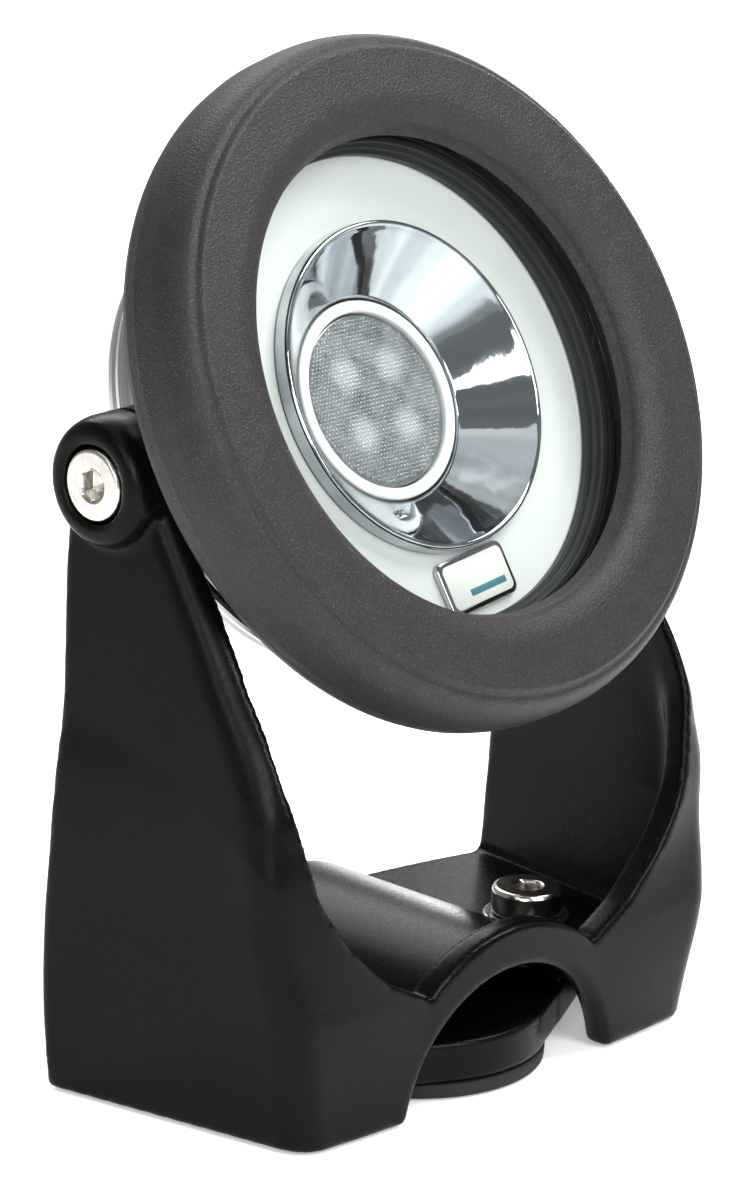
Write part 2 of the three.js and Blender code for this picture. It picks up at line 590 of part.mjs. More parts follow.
// ---------------------------------------------------------------- origin under the middle of the part
part.updateMatrixWorld(true);
const box = new THREE.Box3().setFromObject(part, true);
const middle = box.getCenter(new THREE.Vector3());
part.position.set(-middle.x, -middle.y, -box.min.z);

export default part;
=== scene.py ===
"""Underwater pond light: fine pieces and finishes over the CAD part.

Shapes are drawn in millimetres in the lamp's or the bracket's own frame, with the tilt axis at y = 0,
and are moved into the row frame in metres when their mesh is made.
"""

import json
import math

import bmesh
import bpy
import numpy as np
import openvdb
from mathutils import Matrix, Vector


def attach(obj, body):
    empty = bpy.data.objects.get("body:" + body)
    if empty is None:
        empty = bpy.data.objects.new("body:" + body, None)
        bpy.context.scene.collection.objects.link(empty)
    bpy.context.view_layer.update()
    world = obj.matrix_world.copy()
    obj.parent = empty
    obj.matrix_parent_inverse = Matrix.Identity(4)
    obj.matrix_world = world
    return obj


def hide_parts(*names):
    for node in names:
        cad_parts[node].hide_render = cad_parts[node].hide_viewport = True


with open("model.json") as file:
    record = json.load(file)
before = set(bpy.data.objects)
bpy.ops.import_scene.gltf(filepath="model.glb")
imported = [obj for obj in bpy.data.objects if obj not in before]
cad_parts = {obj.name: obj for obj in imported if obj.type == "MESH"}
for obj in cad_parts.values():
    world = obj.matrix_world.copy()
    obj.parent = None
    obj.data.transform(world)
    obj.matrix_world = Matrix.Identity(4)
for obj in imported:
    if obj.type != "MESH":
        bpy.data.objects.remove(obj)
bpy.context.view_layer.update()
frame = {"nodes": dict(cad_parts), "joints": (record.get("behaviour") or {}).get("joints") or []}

MM = 0.001
tilt_joint = next(j for j in frame["joints"] if j["name"] == "head_tilt")
PIVOT = Vector(tilt_joint["pos_m"])
PIVOT_Z = PIVOT.z / MM  # height of the tilt axis
HEAD_TILT = math.radians(27.7)  # how far the lamp looks up as stored
HEAD_RISE = 1.0  # the lamp's axis passes this far above the tilt axis

# Design frames, in millimetres, as matrices into the row frame.
GROUND = Matrix.Translation((0, PIVOT.y, 0)) @ Matrix.Scale(MM, 4)
LAMP = (
    Matrix.Translation(PIVOT)
    @ Matrix.Scale(MM, 4)
    @ Matrix.Rotation(-HEAD_TILT, 4, "X")
    @ Matrix.Translation((0, 0, HEAD_RISE))
)
LAMP_AXIS = LAMP @ Matrix.Rotation(math.radians(90), 4, "X")  # local +Z looks out of the lamp


# ---------------------------------------------------------------- camera, floor and light
def add_camera():
    """Stand-off, direction and focal length of the product view."""
    azimuth, elevation, roll = (math.radians(a) for a in (-47.51, 16.86, 1.72))
    distance = 0.999
    target = PIVOT + Vector((12.94, 0, -34.65)) * MM
    back = Vector((
        math.sin(azimuth) * math.cos(elevation),
        -math.cos(azimuth) * math.cos(elevation),
        math.sin(elevation),
    ))
    right = Vector((math.cos(azimuth), math.sin(azimuth), 0))
    up = back.cross(right)
    side = math.cos(roll) * right + math.sin(roll) * up
    top = -math.sin(roll) * right + math.cos(roll) * up
    data = bpy.data.cameras.new("camera")
    data.lens = 166.2
    data.sensor_width = 36
    data.clip_start = 0.02
    camera = bpy.data.objects.new("camera", data)
    pose = Matrix((side, top, back)).transposed().to_4x4()
    pose.translation = target + back * distance
    camera.matrix_world = pose
    bpy.context.scene.collection.objects.link(camera)
    bpy.context.scene.camera = camera


def add_light(name, direction, distance, size, power, aim=(0, 0, 0.09)):
    """White rectangular light that looks at aim from a direction; sizes in metres, power in watts."""
    data = bpy.data.lights.new(name, "AREA")
    data.shape = "RECTANGLE"
    data.size, data.size_y = size
    data.energy = power
    light = bpy.data.objects.new(name, data)
    light.location = Vector(aim) + Vector(direction).normalized() * distance
    light.rotation_euler = (Vector(aim) - light.location).to_track_quat("-Z", "Y").to_euler()
    light.visible_camera = False
    bpy.context.scene.collection.objects.link(light)


def add_floor():
    """Pale round floor, a hair below the part so that the two don't share a face."""
    radius, drop = 9, 0.0004
    mesh = bpy.data.meshes.new("floor")
    build = bmesh.new()
    bmesh.ops.create_circle(build, cap_ends=True, segments=96, radius=radius)
    build.to_mesh(mesh)
    build.free()
    floor = bpy.data.objects.new("floor", mesh)
    floor.location.z = -drop
    bpy.context.scene.collection.objects.link(floor)
    glow = {"Emission_Color": (1, 1, 1, 1), "Emission_Strength": 0.36}
    floor.data.materials.append(
        make_look("floor", (0.93, 0.93, 0.93), 0.85, mottled=0.004, blotch_mm=400, **glow)
    )


def add_surroundings():
    """A studio that is lighter at the horizon than overhead."""
    world = bpy.data.worlds.new("studio")
    bpy.context.scene.world = world
    world.use_nodes = True
    tree = world.node_tree
    background = tree.nodes["Background"]
    coordinates = tree.nodes.new("ShaderNodeTexCoord")
    split = tree.nodes.new("ShaderNodeSeparateXYZ")
    ramp = tree.nodes.new("ShaderNodeValToRGB")
    tree.links.new(coordinates.outputs["Generated"], split.inputs[0])
    tree.links.new(split.outputs["Z"], ramp.inputs["Fac"])
    tree.links.new(ramp.outputs["Color"], background.inputs["Color"])
    ramp.color_ramp.elements[0].position = 0.0
    ramp.color_ramp.elements[0].color = (0.62, 0.62, 0.62, 1)
    ramp.color_ramp.elements[1].position = 0.75
    ramp.color_ramp.elements[1].color = (0.36, 0.36, 0.37, 1)
    background.inputs["Strength"].default_value = 0.75


def add_lights():
    add_light("softbox_front", (0.0, -0.87, 0.50), 1.4, (0.2, 0.7), 5)
    add_light("strip_corner", (-0.20, -0.77, 0.60), 0.9, (0.09, 0.5), 3.0)
    add_light("strip_left", (-0.86, -0.10, 0.46), 1.3, (0.22, 0.8), 3.0)
    add_light("strip_right", (0.88, 0.47, 0.10), 1.3, (0.5, 0.45), 5.0)
    add_light("softbox_side", (-0.77, -0.53, 0.33), 1.25, (0.42, 0.60), 5.5)
    add_light("softbox_top", (-0.15, 0.10, 1.0), 1.3, (1.3, 1.0), 3.5)
    add_light("softbox_rear", (0.55, 0.8, 0.75), 1.4, (0.9, 0.7), 9)
    add_light("softbox_right", (0.60, -0.30, 0.95), 0.52, (0.26, 0.26), 3.0, aim=(0, 0, 0.14))
    bpy.context.scene.view_settings.view_transform = "Standard"
    bpy.context.scene.view_settings.gamma = 0.86


# ---------------------------------------------------------------- finishes
def make_look(
    name, color, roughness, metallic=0.0, mottled=0.08, blotch_mm=9.0, grain_mm=0.35,
    bump_mm=0.0, rough_spread=0.05, stretch=(1, 1, 1), **sockets,
):
    """A moulded or machined finish: colour that drifts in blotches, and grain in roughness and height."""
    look = bpy.data.materials.new(name)
    look.use_nodes = True
    tree = look.node_tree
    shader = tree.nodes["Principled BSDF"]
    coordinates = tree.nodes.new("ShaderNodeTexCoord")
    coordinates.name = "coordinates"
    mapping = tree.nodes.new("ShaderNodeMapping")
    mapping.inputs["Scale"].default_value = stretch
    tree.links.new(coordinates.outputs["Object"], mapping.inputs["Vector"])

    blotch = tree.nodes.new("ShaderNodeTexNoise")
    blotch.inputs["Scale"].default_value = 1000 / blotch_mm
    blotch.inputs["Detail"].default_value = 3
    tree.links.new(coordinates.outputs["Object"], blotch.inputs["Vector"])
    ramp = tree.nodes.new("ShaderNodeValToRGB")
    ramp.name = "color"
    ramp.color_ramp.elements[0].position = 0.3
    ramp.color_ramp.elements[1].position = 0.7
    ramp.color_ramp.elements[0].color = (*[c * (1 - mottled) for c in color], 1)
    ramp.color_ramp.elements[1].color = (*[min(1, c * (1 + mottled)) for c in color], 1)
    tree.links.new(blotch.outputs["Fac"], ramp.inputs["Fac"])
    tree.links.new(ramp.outputs["Color"], shader.inputs["Base Color"])

    grain = tree.nodes.new("ShaderNodeTexNoise")
    grain.inputs["Scale"].default_value = 1000 / grain_mm
    grain.inputs["Detail"].default_value = 4
    tree.links.new(mapping.outputs["Vector"], grain.inputs["Vector"])
    spread = tree.nodes.new("ShaderNodeMapRange")
    spread.inputs["From Min"].default_value = 0.25
    spread.inputs["From Max"].default_value = 0.75
    spread.inputs["To Min"].default_value = max(0.02, roughness - rough_spread)
    spread.inputs["To Max"].default_value = min(1.0, roughness + rough_spread)
    tree.links.new(grain.outputs["Fac"], spread.inputs["Value"])
    tree.links.new(spread.outputs["Result"], shader.inputs["Roughness"])
    if bump_mm:
        bump = tree.nodes.new("ShaderNodeBump")
        bump.inputs["Strength"].default_value = 1.0
        bump.inputs["Distance"].default_value = bump_mm * MM
        tree.links.new(grain.outputs["Fac"], bump.inputs["Height"])
        tree.links.new(bump.outputs["Normal"], shader.inputs["Normal"])
    shader.inputs["Metallic"].default_value = metallic
    for socket, value in sockets.items():
        shader.inputs[socket.replace("_", " ")].default_value = value
    return look


def mix_over(look, factor, color):
    """Lay a plain colour over the look's base colour where factor is 1."""
    tree = look.node_tree
    shader = tree.nodes["Principled BSDF"]
    below = shader.inputs["Base Color"].links[0].from_socket
    mix = tree.nodes.new("ShaderNodeMix")
    mix.data_type = "RGBA"
    tree.links.new(factor, mix.inputs[0])
    tree.links.new(below, mix.inputs[6])
    mix.inputs[7].default_value = (*color, 1)
    tree.links.new(mix.outputs[2], shader.inputs["Base Color"])


def add_specks(look, size_mm, reach, color):
    """Tiny light specks, as in a filled moulding compound."""
    tree = look.node_tree
    cells = tree.nodes.new("ShaderNodeTexVoronoi")
    cells.inputs["Scale"].default_value = 1000 / size_mm
    tree.links.new(tree.nodes["coordinates"].outputs["Object"], cells.inputs["Vector"])
    near = tree.nodes.new("ShaderNodeMapRange")
    near.inputs["From Min"].default_value = reach
    near.inputs["From Max"].default_value = reach * 0.5
    tree.links.new(cells.outputs["Distance"], near.inputs["Value"])
    mix_over(look, near.outputs["Result"], color)


def add_streaks(look, frame_matrix, dark, light):
    """Long reflections round a plated bowl: tone drifts with the angle round its axis."""
    tree = look.node_tree
    shader = tree.nodes["Principled BSDF"]
    inverse = frame_matrix.inverted()
    axis_rows = [inverse[i][:] for i in range(2)]
    parts = []
    for row in axis_rows:
        dot = tree.nodes.new("ShaderNodeVectorMath")
        dot.operation = "DOT_PRODUCT"
        dot.inputs[1].default_value = row[:3]
        tree.links.new(tree.nodes["coordinates"].outputs["Object"], dot.inputs[0])
        shift = tree.nodes.new("ShaderNodeMath")
        shift.inputs[1].default_value = row[3]
        tree.links.new(dot.outputs["Value"], shift.inputs[0])
        parts.append(shift.outputs["Value"])
    angle = tree.nodes.new("ShaderNodeMath")
    angle.operation = "ARCTAN2"
    tree.links.new(parts[1], angle.inputs[0])
    tree.links.new(parts[0], angle.inputs[1])
    around = tree.nodes.new("ShaderNodeCombineXYZ")
    tree.links.new(angle.outputs["Value"], around.inputs["X"])
    streak = tree.nodes.new("ShaderNodeTexNoise")
    streak.inputs["Scale"].default_value = 2.2
    streak.inputs["Detail"].default_value = 2.5
    streak.inputs["Distortion"].default_value = 0.4
    tree.links.new(around.outputs["Vector"], streak.inputs["Vector"])
    ramp = tree.nodes["color"]
    ramp.color_ramp.elements[0].position = 0.38
    ramp.color_ramp.elements[1].position = 0.66
    ramp.color_ramp.elements[0].color = (*dark, 1)
    ramp.color_ramp.elements[1].color = (*light, 1)
    tree.links.new(streak.outputs["Fac"], ramp.inputs["Fac"])
    tree.links.new(ramp.outputs["Color"], shader.inputs["Base Color"])


def add_patches(look, centres, radius_mm, color):
    """Soft bright patches where the light sources show through a lens."""
    tree = look.node_tree
    total = None
    for centre in centres:
        near = tree.nodes.new("ShaderNodeVectorMath")
        near.operation = "DISTANCE"
        near.inputs[1].default_value = centre
        tree.links.new(tree.nodes["coordinates"].outputs["Object"], near.inputs[0])
        fade = tree.nodes.new("ShaderNodeMapRange")
        fade.interpolation_type = "SMOOTHSTEP"
        fade.inputs["From Min"].default_value = radius_mm * MM
        fade.inputs["From Max"].default_value = radius_mm * MM * 0.25
        tree.links.new(near.outputs["Value"], fade.inputs["Value"])
        if total is None:
            total = fade.outputs["Result"]
        else:
            add = tree.nodes.new("ShaderNodeMath")
            add.use_clamp = True
            tree.links.new(total, add.inputs[0])
            tree.links.new(fade.outputs["Result"], add.inputs[1])
            total = add.outputs["Value"]
    mix_over(look, total, color)


def make_glass(name):
    """Clear flat pane: see-through, with a reflection that grows at a glance."""
    look = bpy.data.materials.new(name)
    look.use_nodes = True
    tree = look.node_tree
    tree.nodes.remove(tree.nodes["Principled BSDF"])
    clear = tree.nodes.new("ShaderNodeBsdfTransparent")
    clear.inputs["Color"].default_value = (0.955, 0.97, 0.965, 1)
    gloss = tree.nodes.new("ShaderNodeBsdfGlossy")
    gloss.inputs["Roughness"].default_value = 0.02
    facing = tree.nodes.new("ShaderNodeLayerWeight")
    glance = tree.nodes.new("ShaderNodeMath")
    glance.operation = "POWER"
    glance.inputs[1].default_value = 5
    tree.links.new(facing.outputs["Facing"], glance.inputs[0])
    strength = tree.nodes.new("ShaderNodeMapRange")
    strength.inputs["To Min"].default_value = 0.03
    strength.inputs["To Max"].default_value = 0.85
    tree.links.new(glance.outputs["Value"], strength.inputs["Value"])
    mix = tree.nodes.new("ShaderNodeMixShader")
    tree.links.new(strength.outputs["Result"], mix.inputs["Fac"])
    tree.links.new(clear.outputs["BSDF"], mix.inputs[1])
    tree.links.new(gloss.outputs["BSDF"], mix.inputs[2])
    tree.links.new(mix.outputs["Shader"], tree.nodes["Material Output"].inputs["Surface"])
    return look


def make_looks():
    looks = {
        "black_plastic": make_look(
            "black_plastic", (0.0036, 0.0031, 0.0026), 0.29, mottled=0.25, blotch_mm=22, grain_mm=0.5,
            bump_mm=0.012, rough_spread=0.07, stretch=(1, 1, 0.22), Specular_IOR_Level=0.17,
        ),
        "foot_plastic": make_look(
            "foot_plastic", (0.0045, 0.0036, 0.0027), 0.30, mottled=0.2, blotch_mm=14, grain_mm=0.6,
            bump_mm=0.003, rough_spread=0.07, Specular_IOR_Level=0.16,
        ),
        "grey_plastic": make_look(
            "grey_plastic", (0.030, 0.0278, 0.0255), 0.44, mottled=0.10, blotch_mm=5, grain_mm=0.42,
            bump_mm=0.22, rough_spread=0.09, Specular_IOR_Level=0.36,
        ),
        "rubber": make_look("rubber", (0.014, 0.014, 0.014), 0.75, mottled=0.2, grain_mm=0.5, bump_mm=0.03),
        "steel": make_look(
            "steel", (0.66, 0.64, 0.60), 0.20, 1.0, mottled=0.10, blotch_mm=2.5, grain_mm=0.25,
            bump_mm=0.012, rough_spread=0.08,
        ),
        "drawn_steel": make_look(
            "drawn_steel", (0.60, 0.60, 0.60), 0.17, 1.0, mottled=0.06, blotch_mm=12, grain_mm=0.6,
            bump_mm=0.006, rough_spread=0.06,
        ),
        "chrome": make_look("chrome", (0.55, 0.56, 0.58), 0.07, 1.0, mottled=0.04, rough_spread=0.03),
        "bowl_chrome": make_look(
            "bowl_chrome", (0.4, 0.4, 0.4), 0.055, 1.0, mottled=0.0, grain_mm=12, bump_mm=0.09,
            rough_spread=0.025,
        ),
        "white_plastic": make_look(
            "white_plastic", (0.74, 0.745, 0.73), 0.38, mottled=0.015, grain_mm=0.4, bump_mm=0.006,
        ),
        "lens_plastic": make_look(
            "lens_plastic", (0.19, 0.20, 0.21), 0.13, mottled=0.35, blotch_mm=4.5, grain_mm=0.5,
            rough_spread=0.08, Specular_IOR_Level=0.8, Coat_Weight=0.5, Coat_Roughness=0.05,
        ),
        "dark_baffle": make_look("dark_baffle", (0.030, 0.031, 0.033), 0.42, mottled=0.12, bump_mm=0.01),
        "circuit_white": make_look("circuit_white", (0.72, 0.72, 0.70), 0.45, mottled=0.05, bump_mm=0.01),
        "circuit_green": make_look("circuit_green", (0.012, 0.10, 0.042), 0.4, mottled=0.2, bump_mm=0.01),
        "phosphor": make_look("phosphor", (0.80, 0.62, 0.16), 0.3, mottled=0.08, Coat_Weight=0.6),
        "aluminium": make_look("aluminium", (0.62, 0.63, 0.64), 0.34, 1.0, mottled=0.06, bump_mm=0.01),
        "brass": make_look("brass", (0.62, 0.45, 0.19), 0.28, 1.0, mottled=0.10, blotch_mm=4, bump_mm=0.008),
        "teal": make_look("teal", (0.075, 0.225, 0.275), 0.4, mottled=0.05),
        "badge_white": make_look("badge_white", (0.74, 0.73, 0.70), 0.42, mottled=0.03, bump_mm=0.004),
        "clear_glass": make_glass("clear_glass"),
    }
    add_specks(looks["grey_plastic"], size_mm=0.42, reach=0.22, color=(0.14, 0.134, 0.125))
    add_streaks(looks["bowl_chrome"], LAMP_AXIS, dark=(0.40, 0.42, 0.45), light=(0.68, 0.71, 0.74))
    return looks


# ---------------------------------------------------------------- meshes
WELD = 2e-7  # vertices closer than this, in metres, are one
ON_AXIS = 1e-6  # a point closer to the axis than this, in millimetres, is on it
LONG_SIDE, SUPPORT_GAP = 0.7, 0.05


def put(name, vertices, faces, look, body, nodes, slot, smooth_deg=38):
    """Make a mesh in the row frame, ride it on its body, and let it stand for its CAD nodes."""
    mesh = bpy.data.meshes.new(name)
    mesh.from_pydata(vertices, [], faces)
    build = bmesh.new()
    build.from_mesh(mesh)
    bmesh.ops.remove_doubles(build, verts=build.verts, dist=WELD)
    bmesh.ops.recalc_face_normals(build, faces=build.faces)
    if build.calc_volume(signed=True) < 0:
        bmesh.ops.reverse_faces(build, faces=build.faces)
    limit = math.radians(smooth_deg)
    for face in build.faces:
        face.smooth = True
    for edge in build.edges:
        edge.smooth = len(edge.link_faces) == 2 and edge.calc_face_angle(0) < limit
    build.to_mesh(mesh)
    build.free()
    mesh.materials.append(look)
    piece = bpy.data.objects.new(name, mesh)
    bpy.context.scene.collection.objects.link(piece)
    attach(piece, body)
    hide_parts(*nodes)


def rounded(profile, radius, steps=4, loop=True):
    """Round each corner of a profile of (r, h) points, by at most 45 per cent of the sides beside it."""
    points = [Vector(p) for p in profile]
    count = len(points)
    out = []
    for i, corner in enumerate(points):
        if not loop and i in (0, count - 1):
            out.append(tuple(corner))
            continue
        before, after = points[i - 1] - corner, points[(i + 1) % count] - corner
        reach = min(radius, 0.45 * before.length, 0.45 * after.length)
        turn = before.angle(after, math.pi)
        if reach < 0.01 or turn > math.radians(172):
            out.append(tuple(corner))
            continue
        start, end = corner + before.normalized() * reach, corner + after.normalized() * reach
        for k in range(steps + 1):
            t = k / steps
            out.append(tuple((1 - t) ** 2 * start + 2 * t * (1 - t) * corner + t * t * end))
    return out


def ring_radius(radius, flats, angle):
    """Radius of a ring at an angle: round, or cut by a hexagon of that size across flats."""
    if not flats:
        return radius
    return min(radius, flats / 2 / math.cos((angle % math.radians(60)) - math.radians(30)))


def with_support(profile, flats):
    """Add a ring close to both ends of each long side, so that flat faces shade flat."""
    points, kept = [], []
    closed = profile[0][0] > ON_AXIS
    for i, (start, flat) in enumerate(zip(profile, flats)):
        points.append(start)
        kept.append(flat)
        if i == len(profile) - 1 and not closed:
            continue
        end, next_flat = profile[(i + 1) % len(profile)], flats[(i + 1) % len(profile)]
        length = math.dist(start, end)
        if length > LONG_SIDE:
            for t in (SUPPORT_GAP / length, 1 - SUPPORT_GAP / length):
                points.append((start[0] + (end[0] - start[0]) * t, start[1] + (end[1] - start[1]) * t))
                kept.append(flat if t < 0.5 else next_flat)
    return points, kept


def turned(profile, place, segments=128, flats=()):
    """Turn (r, h) points round local +Z. flats gives, for each point, a hexagon that cuts that ring."""
    profile, flats = with_support(profile, list(flats) or [0] * len(profile))
    vertices, rings = [], []
    for (radius, height), flat in zip(profile, flats):
        if radius < ON_AXIS:
            rings.append([len(vertices)] * segments)
            vertices.append(place @ Vector((0, 0, height)))
            continue
        ring = []
        for k in range(segments):
            angle = math.tau * k / segments
            r = ring_radius(radius, flat, angle)
            ring.append(len(vertices))
            vertices.append(place @ Vector((r * math.cos(angle), r * math.sin(angle), height)))
        rings.append(ring)
    pairs = list(zip(rings, rings[1:]))
    if profile[0][0] > ON_AXIS:
        pairs.append((rings[-1], rings[0]))
    faces = []
    for low, high in pairs:
        for k in range(segments):
            n = (k + 1) % segments
            corners = list(dict.fromkeys((low[k], low[n], high[n], high[k])))
            if len(corners) > 2:
                faces.append(corners)
    return vertices, faces


def turned_hexagonal(rings, place):
    """Turn (r, h, flats) rings; a flats above 0 cuts its ring with a hexagon of that size."""
    return turned([ring[:2] for ring in rings], place, 120, [ring[2] for ring in rings])


# ---------------------------------------------------------------- fields for the moulded pieces
def spline(table, at):
    """Smooth reading of a table of (position, value) pairs."""
    xs, ys = (np.array(v, float) for v in zip(*table))
    slopes = np.gradient(ys, xs)
    at = np.clip(at, xs[0], xs[-1])
    i = np.clip(np.searchsorted(xs, at) - 1, 0, len(xs) - 2)
    span = xs[i + 1] - xs[i]
    t = (at - xs[i]) / span
    return (
        ys[i] * (2 * t**3 - 3 * t**2 + 1)
        + ys[i + 1] * (3 * t**2 - 2 * t**3)
        + span * (slopes[i] * (t**3 - 2 * t**2 + t) + slopes[i + 1] * (t**3 - t**2))
    )


def both(a, b, r):
    """Where both fields are inside, with the edge rounded by r."""
    h = np.maximum(r - np.abs(a - b), 0)
    return np.maximum(a, b) + h * h / (4 * r)


def either(a, b, r):
    """Where either field is inside, with a fillet of r."""
    return -both(-a, -b, r)


def without(a, b, r):
    """The first field with the second cut out of it."""
    return both(a, -b, r)


def even_out(points, quads):
    """Take the steps of the grid out of a surface without shrinking it."""
    start = quads.T.ravel()
    end = np.roll(quads, -1, axis=1).T.ravel()
    shares = np.maximum(np.bincount(start, minlength=len(points)), 1)
    inward, outward, rounds = 0.5, -0.52, 5
    for factor in (inward, outward) * rounds:
        sums = [np.bincount(start, points[end, axis], len(points)) for axis in range(3)]
        points = points + factor * (np.stack(sums, axis=1) / shares[:, None] - points)
    return points


def skin(field_of, low, high, pitch, place):
    """The surface where a field of x, y and z is zero, as vertices and quads in the row frame."""
    axes = [np.arange(l, h + pitch, pitch, dtype=np.float32) for l, h in zip(low, high)]
    x, y, z = np.meshgrid(*axes, indexing="ij", sparse=True)
    values = np.clip(field_of(x, y, z), -3 * pitch, 3 * pitch).astype(np.float32)
    grid = openvdb.FloatGrid(3 * pitch)
    grid.copyFromArray(values)
    points, quads = grid.convertToQuads(isovalue=0.0)
    points = even_out(points.astype(float), quads) * pitch + np.array(low)
    matrix = np.array(place)
    points = points @ matrix[:3, :3].T + matrix[:3, 3]
    return points.tolist(), quads.tolist()


# The bracket, in millimetres. Tables give the outline's points at heights above the ground.
FRONT_Y, FRONT_WALL, FRONT_BOW = -48.9, 5.5, 0.00088
WALL, WALL_SWELL = 5.0, 3.0
ARM_TOP, ARM_TOP_HALF = 117.0, 54.0
PLATE_TOP, PLATE_BOTTOM = 17.0, 13.5
BARREL_R, TUNNEL_R, BARREL_Z, BARREL_REAR_Y = 29.1, 25.6, -2.1, 8.2
ARCH_R, ARCH_Z = 26.6, -4.5
HUMP_R = 32.3
EYE_R, EYE_FACE_R, EYE_FACE_X, EYE_SHOULDER = 11.7, 9.1, 58.3, 5.4
SEAT_R, SEAT_DEPTH, PIVOT_BORE_R = 6.95, 5.2, 4.3
FRONT_SET_BACK = (
    (-1, 0), (30, 0), (40, 0), (45, 0.5), (50, 1.2), (55, 2.1), (60, 3), (65, 5), (70, 7.5), (80, 14.6),
    (90, 21.4), (100, 28.7), (108, 34.2), (125, 43),
)
STRIP_SLOPE = ((-1, 0), (30, 0), (40, 0.15), (50, 0.2), (60, 0.4), (70, 0.55), (80, 0.4), (90, 0.2), (125, 0))
WINDOW_EDGE = (
    (16, 15), (20, 20), (23, 23.4), (24.3, 26), (26.2, 29.6), (30, 34.6), (35, 40), (40, 44), (45, 47.1),
    (50, 48.6), (55, 49.8), (60, 50.9), (66, 51.6), (74, 51.3), (84, 50.5), (97, 49.5), (125, 49.3),
)
REAR_EDGE = (
    (-1, 7.4), (10, 8.2), (20, 8.6), (30, 8.5), (40, 8.2), (50, 7.9), (60, 7.8), (70, 7.8), (80, 8.4),
    (92, 9.3), (125, 9.4),
)
FRONT_HALF = ((-1, 50), (10, 52.2), (20, 54.4), (30, 56), (40, 57), (50, 57.6), (60, 58), (72, 58))
REAR_HALF = ((-1, 60.3), (10, 60.6), (25, 60.8), (40, 60.4), (50, 59.9), (60, 58.9), (69, 57.6), (72, 57.4))


# The foot and the two screws that clamp it.
FOOT_R, FOOT_Y, FOOT_TOP, PAD_TOP = 24.5, -24.0, 10.6, 2.8
EAR_X, EAR_R, EAR_TOP = 31.0, 10.0, 13.2
CLAMP_HOLE_R, FOOT_HOLE_R, NUT_POCKET_HALF = 4.5, 4.3, 6.85


def half_width(y, z):
    """Half width of the walls: flat above a crease that falls towards the front, swollen below it."""
    crease = 69 - 0.0078 * (8 - np.minimum(y, 8)) ** 2
    t = np.clip((y - FRONT_Y) / 57, -0.05, 1.1)

    def flat(height):
        return ARM_TOP_HALF + 0.085 * (PIVOT_Z - height) - 0.03 * (8 - y)

    def swollen(height):
        return spline(FRONT_HALF, height) * (1 - t) + spline(REAR_HALF, height) * t

    below = swollen(z) + (flat(crease) - swollen(crease)) * np.clip(z / crease, 0, 1) ** 2
    return np.where(z >= crease, flat(z), below)


def front_face(x, z):
    """The front's y: bowed, leaning back as it rises, and sloping outside the window's edge."""
    beyond = x - spline(WINDOW_EDGE, np.maximum(z, 23))
    soft = 0.5 * (beyond + np.sqrt(beyond**2 + 1.0))
    return FRONT_Y + FRONT_BOW * x * x + spline(FRONT_SET_BACK, z) + spline(STRIP_SLOPE, z) * soft


def bracket_field(x, y, z):
    """Both walls with the front, hollow above and below a floor plate, with the openings cut out."""
    x = np.abs(x)
    across = half_width(y, z)
    front = front_face(x, z)
    rear = spline(REAR_EDGE, z) + 7 * np.maximum(0, 1 - (x / 52) ** 2)
    body = both(x - across, (front - y) * 0.85, 5.0)
    body = both(body, y - rear, 1.6)
    body = both(body, -z, 1.2)
    body = both(body, z - ARM_TOP, 2.0)
    inset = WALL + WALL_SWELL * np.maximum(0, 1 - z / 40)
    hollow = both(x - (across - inset), (front + FRONT_WALL - y) * 0.85, 3.0)
    hollow_above = both(hollow, PLATE_TOP - z, 2.0)
    hollow_below = both(hollow, z - PLATE_BOTTOM, 2.0)
    body = without(body, hollow_above, 1.2)
    body = without(body, hollow_below, 1.2)
    from_barrel = np.sqrt(x**2 + (z - BARREL_Z) ** 2)
    window = both(x - spline(WINDOW_EDGE, z), HUMP_R - from_barrel, 0.8)
    window = np.maximum(window, 19 - z)
    body = without(body, window, 1.1)
    barrel = both(from_barrel - BARREL_R, y - BARREL_REAR_Y, 1.0)
    barrel = np.maximum(barrel, np.maximum(FRONT_Y + 3 - y, PLATE_BOTTOM - z))
    body = either(body, barrel, 1.6)
    bore = np.maximum(from_barrel - TUNNEL_R, FRONT_Y + FRONT_WALL - y)
    body = without(body, bore, 0.8)
    arch = np.maximum(np.sqrt(x**2 + (z - ARCH_Z) ** 2) - ARCH_R, y - (FRONT_Y + FRONT_WALL + 0.6))
    body = without(body, arch, 1.8)
    from_clamp = np.sqrt((x - EAR_X) ** 2 + (y - FOOT_Y) ** 2)
    body = without(body, np.maximum(from_clamp - CLAMP_HOLE_R, z - 30), 0.6)

    from_axis = np.sqrt(y**2 + (z - PIVOT_Z) ** 2)
    out = np.clip((x - (EYE_FACE_X - EYE_SHOULDER)) / EYE_SHOULDER, 0, 1)
    eye = from_axis - (EYE_FACE_R + (EYE_R - EYE_FACE_R) * np.sqrt(1 - out**2))
    eye = both(eye, x - EYE_FACE_X, 1.0)
    eye = np.maximum(eye, ARM_TOP_HALF - WALL - x)
    body = either(body, eye, 0.6)
    seat = np.maximum(from_axis - SEAT_R, EYE_FACE_X - SEAT_DEPTH - x)
    body = without(body, seat, 0.7)
    return without(body, np.maximum(from_axis - PIVOT_BORE_R, 40 - x), 0.5)


